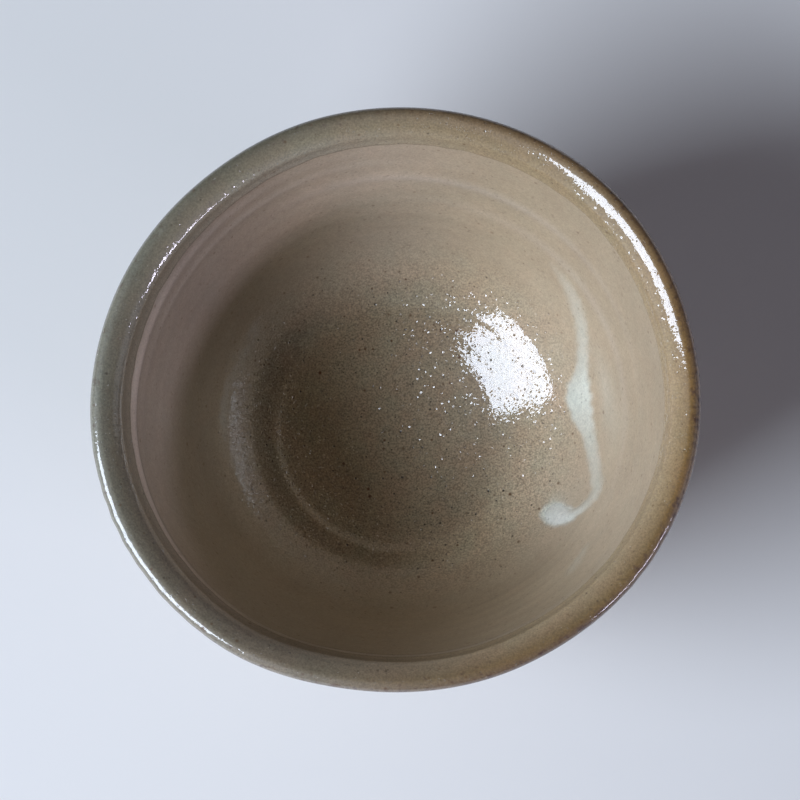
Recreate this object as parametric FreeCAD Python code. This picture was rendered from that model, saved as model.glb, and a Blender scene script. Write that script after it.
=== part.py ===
import FreeCAD, Part
import math
import os

# A hand-thrown stoneware tea bowl (a chawan for matcha), picked up wet so that its mouth is slightly oval.
# Millimetres, +Z up, the origin on the table under the middle of the foot.
#
# The clay's profile is a chain of tangent arcs: from the middle of the floor, over the ring of the tea
# pool, up the inside, over the lip and down the outside to the seat of the foot ring.  A coat of glaze is
# the same chain about the same centres with other radii, so each coat lies on the clay, or on the coat
# under it, at its own thickness.  Clay and glaze are made round, as on the wheel, and squeezed oval at
# the end.  The foot ring is turned afterwards and stays round.

Vector = FreeCAD.Vector

# Clay body
RIM_LONG = 121.4             # outside of the mouth along the long axis of the oval
RIM_SHORT = 117.0            # outside of the mouth across it
OVAL_TURN = 12.7             # degrees from +X to the long axis
CREST_HEIGHT = 75.2          # table to the top of the clay lip
BOTTOM_THICKNESS = 5.0       # seat of the foot ring to the middle of the floor
FLOOR_RADIUS = 20.0          # the shallow dish in the middle of the floor
FLOOR_SLOPE = 19.0           # degrees, slope of the dish at its edge
POOL_CURVE_RADIUS = 74.0     # rounded side of the tea pool, from the dish to the ring
POOL_SLOPE = 26.0            # degrees, slope of the tea pool's side under the ring
RING_RADIUS = 6.0            # rounding of the low ring round the tea pool
RING_FALL = 5.0              # degrees by which the slope eases over the ring
INNER_HIP_RADIUS = 27.0      # curve between the ring and the wall, inside
INNER_WALL_RADIUS = 420.0    # long curve of the wall, inside
LIP_INNER_RADIUS = 1.2       # rounding of the lip towards the mouth
LIP_BEVEL_RADIUS = 10.0      # the broad top of the lip, which leans gently inwards
LIP_BEVEL_END = 42.0         # degrees, slope of the bevel where it meets the inner rounding
LIP_BEVEL_START = 22.0       # degrees, slope of the bevel where it meets the outer rounding
LIP_OUTER_RADIUS = 1.1       # rounding of the lip towards the outside
OUTER_WALL_RADIUS = 280.0    # long curve of the wall, outside
OUTER_HIP_RADIUS = 50.0      # curve between wall and foot, outside
TRIM_SLOPE = 37.0            # degrees, slope of the trimmed outside at the seat of the foot ring

# Foot ring, and the underside that is turned to fit it
FOOT_HEIGHT = 7.0
FOOT_BASE_RADIUS = 27.4      # outside, on the table
FOOT_BASE_WIDTH = 4.9
FOOT_FLARE = 1.1             # how much wider the ring is at its seat, on each side
FOOT_OUTER_ROUND = 1.5
FOOT_INNER_ROUND = 0.9
SEAT_LEDGE = 0.9             # flat clay left round the ring where the oval is narrow
RECESS_LEDGE = 1.2           # flat clay left inside the ring
RECESS_DEPTH = 1.2           # how deep the hollow inside the ring is turned
NIPPLE_RADIUS = 8.0          # the low cone that turning leaves in the middle of the hollow
NIPPLE_DROP = 1.9            # how far its tip hangs below its own edge

# Glaze
INNER_COAT = 0.45            # poured inside, up to the crest
OUTER_COAT = 0.8             # dipped over the outside and the lip, and on the lip over the inner coat
LAP_DROP = 6.6               # crest to the lap's edge inside, at the middle of the bowl
BARE_CLAY = 7.4              # seat of the foot ring to the glaze's edge, at the middle of the bowl
DIP_TILT = 1.0               # degrees, how far the bowl leaned when it was dipped mouth down
DIP_DIRECTION = 235.0        # degrees from +X, the side that went in deeper

# White slip poured on the inside wall, which keeps its place under the mouth: stations of (direction in
# degrees, how far in from the outside of the mouth, half of the width)
SLIP_COAT = 0.6
SLIP_TRAIL = [(46.0, 14.0, 0.5), (42.0, 14.4, 0.8), (37.0, 15.0, 1.1), (29.0, 16.4, 1.3), (20.7, 18.8, 1.4),
              (15.2, 20.5, 1.7), (10.2, 21.8, 2.7), (3.6, 21.6, 2.4), (-3.9, 20.1, 1.6), (-11.6, 18.2, 1.4),
              (-18.3, 16.3, 1.3), (-22.3, 15.6, 1.1), (-26.5, 16.5, 1.0), (-29.0, 17.8, 1.1),
              (-30.4, 19.0, 1.9), (-31.3, 20.7, 2.8)]
SLIP_STREAK = [(-36.3, 11.6, 0.3), (-37.5, 11.4, 0.5), (-39.8, 11.1, 0.7), (-42.2, 10.8, 0.8),
               (-44.4, 10.6, 0.6), (-45.5, 10.4, 0.3)]
OUTLINE_FIT = 0.06           # how closely arcs follow a stroke's smooth outline

BIG = 200.0                  # reach of a cutting solid, well past the bowl

SQUEEZE = RIM_SHORT / RIM_LONG
FLOOR_HEIGHT = FOOT_HEIGHT + BOTTOM_THICKNESS
FOOT_SEAT_RADIUS = FOOT_BASE_RADIUS + FOOT_FLARE
FOOT_BORE_RADIUS = FOOT_BASE_RADIUS - FOOT_BASE_WIDTH
RECESS_RADIUS = FOOT_BORE_RADIUS - FOOT_FLARE - RECESS_LEDGE
SEAT_EDGE = Vector((FOOT_SEAT_RADIUS + SEAT_LEDGE) / SQUEEZE, 0, FOOT_HEIGHT)
CREST = Vector(RIM_LONG / 2 - LIP_OUTER_RADIUS, 0, CREST_HEIGHT)


def unit(angle):
    """The unit vector at an angle in degrees from +r, in the plane of radius (x) and height (z)."""
    return Vector(math.cos(math.radians(angle)), 0, math.sin(math.radians(angle)))


def angle_of(vector):
    """The angle in degrees of a vector in that plane."""
    return math.degrees(math.atan2(vector.z, vector.x))


class Stretch:
    """One arc of the clay's profile, placed by the direction of the surface's outward normal in degrees."""

    def __init__(self, centre, radius, start, end, hollow):
        self.centre = centre
        self.radius = radius
        self.start = start
        self.end = end
        self.side = -1.0 if hollow else 1.0

    def point(self, angle, coat=0.0):
        """The point with this normal, on a coat of this thickness."""
        return self.centre + unit(angle) * (self.side * self.radius + coat)

    def continued(self, radius, end, hollow):
        """The next arc, which leaves this one's end without a corner."""
        side = -1.0 if hollow else 1.0
        centre = self.point(self.end) - unit(self.end) * (side * radius)
        return Stretch(centre, radius, self.end, end, hollow)

    def edge(self, coat=0.0):
        """The arc on a coat of this thickness."""
        middle = (self.start + self.end) / 2
        return Part.Arc(self.point(self.start, coat), self.point(middle, coat), self.point(self.end, coat)).toShape()


def touching_centre(low, low_distance, high, high_distance):
    """The point at given distances from a low and a high centre, on the side of the bowl's axis."""
    span = high - low
    along = (low_distance ** 2 - high_distance ** 2 + span.dot(span)) / (2 * span.Length)
    aside = math.sqrt(low_distance ** 2 - along ** 2)
    forward = span / span.Length
    return low + forward * along + Vector(-forward.z, 0, forward.x) * aside


def inside_and_lip():
    """Dish, pool side, ring, hip and wall of the inside, and the bevelled lip up to its crest."""
    dish_radius = FLOOR_RADIUS / math.sin(math.radians(FLOOR_SLOPE))
    dish_centre = Vector(0, 0, FLOOR_HEIGHT + dish_radius)
    dish = Stretch(dish_centre, dish_radius, 90, 90 + FLOOR_SLOPE, True)
    pool = dish.continued(POOL_CURVE_RADIUS, 90 + POOL_SLOPE, True)
    ring = pool.continued(RING_RADIUS, 90 + POOL_SLOPE - RING_FALL, False)
    hip_centre = ring.point(ring.end) + unit(ring.end) * INNER_HIP_RADIUS
    edge_centre = CREST - unit(90) * LIP_OUTER_RADIUS
    bevel_centre = edge_centre - unit(90 + LIP_BEVEL_START) * (LIP_BEVEL_RADIUS - LIP_OUTER_RADIUS)
    lip_centre = bevel_centre + unit(90 + LIP_BEVEL_END) * (LIP_BEVEL_RADIUS - LIP_INNER_RADIUS)
    wall_centre = touching_centre(hip_centre, INNER_WALL_RADIUS - INNER_HIP_RADIUS,
                                  lip_centre, INNER_WALL_RADIUS + LIP_INNER_RADIUS)
    hip = ring.continued(INNER_HIP_RADIUS, angle_of(wall_centre - hip_centre), True)
    wall = hip.continued(INNER_WALL_RADIUS, angle_of(wall_centre - lip_centre), True)
    lip = wall.continued(LIP_INNER_RADIUS, 90 + LIP_BEVEL_END, False)
    bevel = lip.continued(LIP_BEVEL_RADIUS, 90 + LIP_BEVEL_START, False)
    edge = bevel.continued(LIP_OUTER_RADIUS, 90, False)
    return [dish, pool, ring, hip, wall, lip, bevel, edge]


def lip_and_outside():
    """The lip's outer rounding from the crest, then wall and hip down to the seat of the foot ring."""
    lip_centre = CREST - unit(90) * LIP_OUTER_RADIUS
    hip_centre = SEAT_EDGE + unit(90 + TRIM_SLOPE) * OUTER_HIP_RADIUS
    wall_centre = touching_centre(hip_centre, OUTER_WALL_RADIUS - OUTER_HIP_RADIUS,
                                  lip_centre, OUTER_WALL_RADIUS - LIP_OUTER_RADIUS)
    lip = Stretch(lip_centre, LIP_OUTER_RADIUS, 90, angle_of(lip_centre - wall_centre), False)
    wall = lip.continued(OUTER_WALL_RADIUS, angle_of(hip_centre - wall_centre), False)
    hip = wall.continued(OUTER_HIP_RADIUS, TRIM_SLOPE - 90, False)
    return [lip, wall, hip]


def underside_edges():
    """The seat of the foot ring and the turned hollow inside it, from the seat's edge to the axis."""
    hollow_edge = Vector(RECESS_RADIUS, 0, FOOT_HEIGHT)
    deepest = Vector((RECESS_RADIUS + NIPPLE_RADIUS) / 2, 0, FOOT_HEIGHT + RECESS_DEPTH)
    nipple_edge = Vector(NIPPLE_RADIUS, 0, FOOT_HEIGHT + RECESS_DEPTH / 2)
    tip = nipple_edge - Vector(NIPPLE_RADIUS, 0, NIPPLE_DROP)
    nipple_round = (NIPPLE_RADIUS ** 2 + NIPPLE_DROP ** 2) / (2 * NIPPLE_DROP)
    half_angle = math.degrees(math.asin(NIPPLE_RADIUS / nipple_round)) / 2
    nipple_middle = tip + (unit(90) + unit(half_angle - 90)) * nipple_round
    return [Part.makeLine(SEAT_EDGE, hollow_edge),
            Part.Arc(hollow_edge, deepest, nipple_edge).toShape(),
            Part.Arc(nipple_edge, nipple_middle, tip).toShape(),
            Part.makeLine(tip, Vector(0, 0, FLOOR_HEIGHT))]


def turned(edges):
    """The solid that a closed profile sweeps about the bowl's axis."""
    wire = Part.Wire(Part.__sortEdges__(edges))
    return Part.Face(wire).revolve(Vector(0, 0, 0), Vector(0, 0, 1), 360)


def skin(stretches, under, over):
    """The coat between two thicknesses over some stretches of the clay."""
    first, last = stretches[0], stretches[-1]
    ends = [Part.makeLine(first.point(first.start, under), first.point(first.start, over)),
            Part.makeLine(last.point(last.end, under), last.point(last.end, over))]
    return turned([s.edge(under) for s in stretches] + [s.edge(over) for s in stretches] + ends)


def above_dip_line(shape, height):
    """What a coat keeps above the glaze's level, which crossed the leaning bowl's axis at a height."""
    keep = Part.makeBox(2 * BIG, 2 * BIG, BIG, Vector(-BIG, -BIG, 0))
    across = math.radians(DIP_DIRECTION + 90)
    keep.rotate(Vector(0, 0, 0), Vector(math.cos(across), math.sin(across), 0), DIP_TILT)
    keep.translate(Vector(0, 0, height))
    return shape.common(keep)


def squeezed(shape):
    """The round shape made oval: narrower across the long axis of the mouth."""
    turn = FreeCAD.Matrix()
    turn.rotateZ(math.radians(-OVAL_TURN))
    narrow = FreeCAD.Matrix()
    narrow.scale(1, SQUEEZE, 1)
    return shape.transformGeometry(turn.inverse() * narrow * turn)


def thrown_body(inside, outside):
    """The clay wall and floor, thrown in one piece and turned underneath."""
    return squeezed(turned([s.edge() for s in inside + outside] + underside_edges()))


def inner_glaze(inside):
    """The coat poured inside, from the floor to the crest of the lip."""
    return squeezed(skin(inside, 0, INNER_COAT))


def outer_glaze(inside, outside):
    """The dipped coat: the outside down to the bare clay, and the lap over the lip on the inner coat."""
    lap = above_dip_line(skin(inside[-4:], INNER_COAT, OUTER_COAT), CREST_HEIGHT - LAP_DROP)
    covered = above_dip_line(skin(outside, 0, OUTER_COAT), FOOT_HEIGHT + BARE_CLAY)
    return squeezed(lap.fuse(covered))


def stroke_outline(stations):
    """The plan outline of a poured stroke: a closed smooth curve round its stations."""
    middles = []
    for direction, inwards, _ in stations:
        radius, angle = RIM_LONG / 2 - inwards, math.radians(direction)
        middles.append(Vector(radius * math.cos(angle), radius * math.sin(angle), 0))
    left, right = [], []
    for i, (_, _, half_width) in enumerate(stations):
        along = middles[min(i + 1, len(middles) - 1)] - middles[max(i - 1, 0)]
        across = Vector(-along.y, along.x, 0).normalize() * half_width
        left.append(middles[i] + across)
        right.append(middles[i] - across)
    first_cap = middles[0] - (middles[1] - middles[0]).normalize() * stations[0][2]
    last_cap = middles[-1] + (middles[-1] - middles[-2]).normalize() * stations[-1][2]
    outline = Part.BSplineCurve()
    outline.interpolate(Points=[first_cap] + right + [last_cap] + left[::-1], PeriodicFlag=True)
    return Part.Wire([arc.toShape() for arc in outline.toBiArcs(OUTLINE_FIT)])


def poured_slip(inside, stations):
    """A stroke of slip that lies on the inner coat."""
    layer = skin(inside, INNER_COAT, INNER_COAT + SLIP_COAT)
    prism = Part.Face(stroke_outline(stations)).extrude(Vector(0, 0, CREST_HEIGHT))
    return squeezed(layer.common(prism))


def foot_ring():
    """The ring under the bowl, a little wider at its seat, with its two bottom edges rounded."""
    corners = [Vector(FOOT_SEAT_RADIUS, 0, FOOT_HEIGHT),
               Vector(FOOT_BASE_RADIUS, 0, 0),
               Vector(FOOT_BORE_RADIUS, 0, 0),
               Vector(FOOT_BORE_RADIUS - FOOT_FLARE, 0, FOOT_HEIGHT)]
    ring = turned([Part.makeLine(a, b) for a, b in zip(corners, corners[1:] + corners[:1])])
    for corner, rounding in ((corners[1], FOOT_OUTER_ROUND), (corners[2], FOOT_INNER_ROUND)):
        rims = [e for e in ring.Edges if len(e.Vertexes) == 1 and e.Vertexes[0].Point.isEqual(corner, 0.01)]
        ring = ring.makeFillet(rounding, rims[:1])
    return ring


def main():
    """Builds each piece and writes it as its own STEP file."""
    inside, outside = inside_and_lip(), lip_and_outside()
    pieces = {
        "thrown_body": thrown_body(inside, outside),
        "foot_ring": foot_ring(),
        "inner_glaze": inner_glaze(inside),
        "outer_glaze": outer_glaze(inside, outside),
        "slip_trail": poured_slip(inside, SLIP_TRAIL),
        "slip_streak": poured_slip(inside, SLIP_STREAK),
    }
    os.makedirs("parts", exist_ok=True)
    for name, shape in pieces.items():
        shape.exportStep("parts/" + name + ".step")
        print(f"{name:14s} solids {len(shape.Solids)} valid {shape.isValid()} volume {shape.Volume:9.1f} mm3")


main()
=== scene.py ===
"""A hand-thrown stoneware tea bowl for matcha: glazed inside and out, with a stroke of white slip inside.

The clay is a body of revolution whose profile is a chain of tangent arcs.  Every glaze coat is the same
chain at its own height over the clay, so all the layers share one set of potter's marks and one leaning
rim.  Sizes are millimetres and degrees, and metres only where a comment says so.
"""

import logging
import math
from dataclasses import dataclass, field
from enum import Enum

import bpy
import numpy as np
from mathutils import Matrix, Vector


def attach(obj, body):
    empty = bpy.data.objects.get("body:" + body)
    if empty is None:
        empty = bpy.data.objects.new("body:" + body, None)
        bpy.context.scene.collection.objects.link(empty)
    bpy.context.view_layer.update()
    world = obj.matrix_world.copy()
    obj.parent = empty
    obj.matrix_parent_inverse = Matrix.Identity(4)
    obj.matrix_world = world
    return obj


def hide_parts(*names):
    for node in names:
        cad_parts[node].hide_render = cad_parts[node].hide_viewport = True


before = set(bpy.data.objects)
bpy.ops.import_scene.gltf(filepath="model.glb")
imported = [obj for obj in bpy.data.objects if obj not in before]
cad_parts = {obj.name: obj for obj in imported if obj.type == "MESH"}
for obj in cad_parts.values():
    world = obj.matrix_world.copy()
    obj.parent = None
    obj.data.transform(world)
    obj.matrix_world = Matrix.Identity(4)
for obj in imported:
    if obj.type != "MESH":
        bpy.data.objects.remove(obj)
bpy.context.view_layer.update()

LOG = logging.getLogger("matcha_bowl")
MM = 0.001
TAU = 2 * np.pi
ROUND_STEPS = 480  # steps round the bowl of every grid but the slip's, about 0.8 mm at the rim
SINK = 0.12  # mm, how far a layer's underside sits in the layer that carries it
POURED_COAT = 0.45  # mm, thickness of the coat inside, which the lap and the slip lie on
Grid = np.ndarray
Colour = tuple[float, float, float, float]
Socket = bpy.types.NodeSocket
Tree = bpy.types.NodeTree


# ---------------------------------------------------------------- helpers


def linear(code: str) -> Colour:
    """Turns an sRGB hex colour into linear RGBA.

    Args:
        code: six hex digits, with a leading hash.

    Returns:
        Red, green, blue and alpha, each 0 to 1.
    """
    parts = [int(code[i : i + 2], 16) / 255 for i in (1, 3, 5)]
    red, green, blue = (p / 12.92 if p <= 0.04045 else ((p + 0.055) / 1.055) ** 2.4 for p in parts)
    return red, green, blue, 1.0


def ramp(value: Grid, low: float | Grid, high: float | Grid) -> Grid:
    """A smooth step: 0 below low, 1 above high, and the cubic 3t^2 - 2t^3 between them."""
    t = np.clip((value - low) / (high - low), 0.0, 1.0)
    return t * t * (3 - 2 * t)


def bell(away: Grid, width: float | Grid) -> Grid:
    """A bell: exp of minus half the squared distance over the width."""
    return np.exp(-0.5 * (away / width) ** 2)


def near(theta: Grid, direction: float, spread: float) -> Grid:
    """A bell round one direction, by the angle away from it over a spread in degrees."""
    return bell((np.degrees(theta) - direction + 180) % 360 - 180, spread)


def round_the_mouth(theta: Grid, stops: tuple) -> Grid:
    """A closed smooth line through values given at some directions, joined by the cubic 3t^2 - 2t^3.

    Args:
        theta: directions in radians.
        stops: pairs of a direction in degrees, rising within one round, and a number or three numbers.

    Returns:
        The value at each direction, with a last axis of 3 where the stops hold three numbers.
    """
    directions = np.array([d for d, _ in stops] + [stops[0][0] + 360])
    values = np.array([v for _, v in stops] + [stops[0][1]])
    turned = (np.degrees(theta) - directions[0]) % 360 + directions[0]
    i = np.clip(np.searchsorted(directions, turned, side="right") - 1, 0, len(stops) - 1)
    t = ramp((turned - directions[i]) / (directions[i + 1] - directions[i]), 0.0, 1.0)
    return values[i] + (values[i + 1] - values[i]) * t.reshape(t.shape + (1,) * (values.ndim - 1))


def tones(theta: Grid, stops: tuple[tuple[float, str], ...]) -> Grid:
    """Linear colours round the mouth, from pairs of a direction in degrees and an sRGB hex colour."""
    return round_the_mouth(theta, tuple((direction, linear(code)[:3]) for direction, code in stops))


def blended(base: Grid, colour: str, share: Grid) -> Grid:
    """Moves linear colours towards another by a share of 0 to 1."""
    return base + (np.array(linear(colour)[:3]) - base) * share[..., None]


def hand_wave(theta: Grid, harmonics: range, seed: int) -> Grid:
    """An uneven closed line: a sum of cosines of whole multiples of the direction, scaled to about 1.

    Args:
        theta: directions in radians.
        harmonics: how many waves go round the bowl in each cosine.
        seed: picks the cosines' sizes and starts.

    Returns:
        The line's height at each direction, mostly within -1 to 1.
    """
    rng = np.random.default_rng(seed)
    sizes = rng.uniform(0.4, 1.0, len(harmonics))
    starts = rng.uniform(0, TAU, len(harmonics))
    waves = sum(a * np.cos(n * theta + p) for n, a, p in zip(harmonics, sizes, starts))
    return waves / np.sqrt(2 * np.sum(sizes**2))


class Ends(Enum):
    """How the first and the last ring of a grid close."""

    POLES = "each shrinks to a point"
    LOOP = "the last joins the first"


def closed_mesh(name: str, rings: Grid, ends: Ends, values: dict[str, Grid]) -> bpy.types.Object:
    """Makes a closed mesh from rings of points that each go once round.

    Neighbouring rings are joined by quads, and the signed volume, a sum of v0 . (v1 x v2) over the
    triangles, says whether the faces have to be turned to point outwards.

    Args:
        name: the piece's name.
        rings: points in metres, shaped (rings, round, 3).
        ends: how the first and last ring close.
        values: attributes by name, shaped (rings, round) or (rings, round, 3) for a colour.

    Returns:
        The new object, linked to the scene, at the origin.
    """
    count, around = rings.shape[:2]
    ring = np.arange(around)
    following = np.roll(ring, -1)
    poles = ends is Ends.POLES

    def flat(grid: Grid) -> Grid:
        """The grid as a list of vertices, with one vertex for each pole."""
        body = grid.reshape((count * around,) + grid.shape[2:])
        return np.concatenate([grid[:1].mean(1), body[around:-around], grid[-1:].mean(1)]) if poles else body

    low = 1 + np.arange(count - 3)[:, None] * around if poles else np.arange(count)[:, None] * around
    high = low + around if poles else np.roll(low, -1, axis=0)
    quads = np.stack([low + ring, low + following, high + following, high + ring], -1).reshape(-1, 4)
    triangles = np.empty((0, 3), int)
    if poles:
        final = 1 + (count - 2) * around
        last_start = final - around
        first_fan = np.stack([np.zeros_like(ring), 1 + following, 1 + ring], -1)
        last_fan = np.stack([np.full_like(ring, final), last_start + ring, last_start + following], -1)
        triangles = np.concatenate([first_fan, last_fan])
    points = flat(rings)
    corners = points[np.concatenate([quads[:, :3], quads[:, [0, 2, 3]], triangles])]
    if np.einsum("ij,ij->", corners[:, 0], np.cross(corners[:, 1], corners[:, 2])) < 0:
        quads, triangles = quads[:, ::-1], triangles[:, ::-1]
    mesh = bpy.data.meshes.new(name)
    mesh.from_pydata(points.tolist(), [], quads.tolist() + triangles.tolist())
    mesh.shade_smooth()
    for label, grid in values.items():
        data = flat(grid)
        if grid.ndim == 3:
            data = np.concatenate([data, np.ones((len(points), 1))], 1)
        kind, key = ("FLOAT_COLOR", "color") if grid.ndim == 3 else ("FLOAT", "value")
        mesh.attributes.new(label, kind, "POINT").data.foreach_set(key, data.ravel())
    piece = bpy.data.objects.new(name, mesh)
    bpy.context.scene.collection.objects.link(piece)
    return piece


def hand_over(piece: bpy.types.Object, material: bpy.types.Material) -> None:
    """Dresses a finished piece, lets it ride on the bowl and stand for the CAD node of its own name.

    Args:
        piece: the finished piece, named after the node with "_look" behind it.
        material: its finish.
    """
    piece.data.materials.append(material)
    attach(piece, "root")
    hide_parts(piece.name.removesuffix("_look"))
    LOG.info("%s: %d faces, %s", piece.name, len(piece.data.polygons), material.name)


# ---------------------------------------------------------------- the bowl's form


@dataclass(frozen=True)
class Stretch:
    """One arc of the clay's profile, placed by the direction of the outward normal in degrees."""

    centre: tuple[float, float]
    radius: float
    start: float
    end: float
    hollow: bool

    @property
    def reach(self) -> float:
        """The radius, negative where the arc is hollow."""
        return -self.radius if self.hollow else self.radius

    @property
    def length(self) -> float:
        """Arc length in millimetres."""
        return self.radius * math.radians(abs(self.end - self.start))

    def continued(self, radius: float, end: float, hollow: bool) -> "Stretch":
        """The next arc, which leaves this one's end without a corner."""
        a, change = math.radians(self.end), self.reach - (-radius if hollow else radius)
        centre = (self.centre[0] + change * math.cos(a), self.centre[1] + change * math.sin(a))
        return Stretch(centre, radius, self.end, end, hollow)


class Profile:
    """A chain of arcs, read by the distance along it."""

    def __init__(self, stretches: list[Stretch]) -> None:
        """Keeps the arcs' numbers as arrays.

        Args:
            stretches: the arcs, each from where the last one ends.
        """
        self.centres = np.array([s.centre for s in stretches])
        self.reaches = np.array([s.reach for s in stretches])
        self.starts = np.radians([s.start for s in stretches])
        self.turns = np.radians([s.end - s.start for s in stretches])
        self.lengths = np.array([s.length for s in stretches])
        self.ends = np.cumsum(self.lengths)

    @property
    def length(self) -> float:
        """Length of the whole chain in millimetres."""
        return float(self.ends[-1])

    def at(self, along: Grid) -> tuple[Grid, Grid, Grid]:
        """The chain at some distances: the arc's centre plus its reach in the direction of the normal.

        Args:
            along: distances from the chain's start in millimetres.

        Returns:
            Radius, height and the normal's angle in radians.
        """
        i = np.clip(np.searchsorted(self.ends, along), 0, len(self.ends) - 1)
        part = (along - (self.ends[i] - self.lengths[i])) / self.lengths[i]
        angle = self.starts[i] + self.turns[i] * part
        r = self.centres[i, 0] + self.reaches[i] * np.cos(angle)
        z = self.centres[i, 1] + self.reaches[i] * np.sin(angle)
        return r, z, angle

    def steps(self, first: float, last: float, step: float, turn: float) -> Grid:
        """Distances from first to last that are close enough together for a smooth mesh.

        Args:
            first: the first distance along the chain in millimetres.
            last: the last one.
            step: the widest gap in millimetres.
            turn: the most that the normal turns in one gap, in degrees.

        Returns:
            The distances, with every end of an arc among them.
        """
        cuts = [first]
        for end, length, spin in zip(self.ends, self.lengths, np.degrees(np.abs(self.turns))):
            low, high = max(first, end - length), min(last, end)
            if high > low:
                share = (high - low) / length
                count = max(1, math.ceil((high - low) / step), math.ceil(spin * share / turn))
                cuts.extend(np.linspace(low, high, count + 1)[1:])
        return np.array(cuts)


@dataclass(frozen=True)
class FingerRidge:
    """A low ridge that runs part of the way round the inside, where a finger stayed a moment."""

    direction: float
    spread: float
    level: float  # mm over the table
    width: float
    height: float


@dataclass(frozen=True)
class Swell:
    """A slow swell of the thrown wall: a cosine that leans as it goes round."""

    height: float
    rounds: int  # waves round the bowl
    run: float  # mm along the profile for one radian more, or less if negative

    def at(self, theta: Grid, along: Grid) -> Grid:
        """The height times the cosine of rounds times the direction plus distance over run."""
        return self.height * np.cos(self.rounds * theta + along / self.run)


@dataclass(frozen=True)
class LipMark:
    """A swelling of the lip, or a hollow in it: a bell across the lip times a bell along it."""

    place: float  # mm past the crest, negative inside
    inward: float  # the bell's width on its inner side
    outward: float  # and on its outer side
    direction: float
    spread: float
    height: float

    def at(self, theta: Grid, down: Grid) -> Grid:
        """The mark's height at some directions and distances past the crest."""
        across = bell(down - self.place, np.where(down < self.place, self.inward, self.outward))
        return self.height * across * near(theta, self.direction, self.spread)


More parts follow.
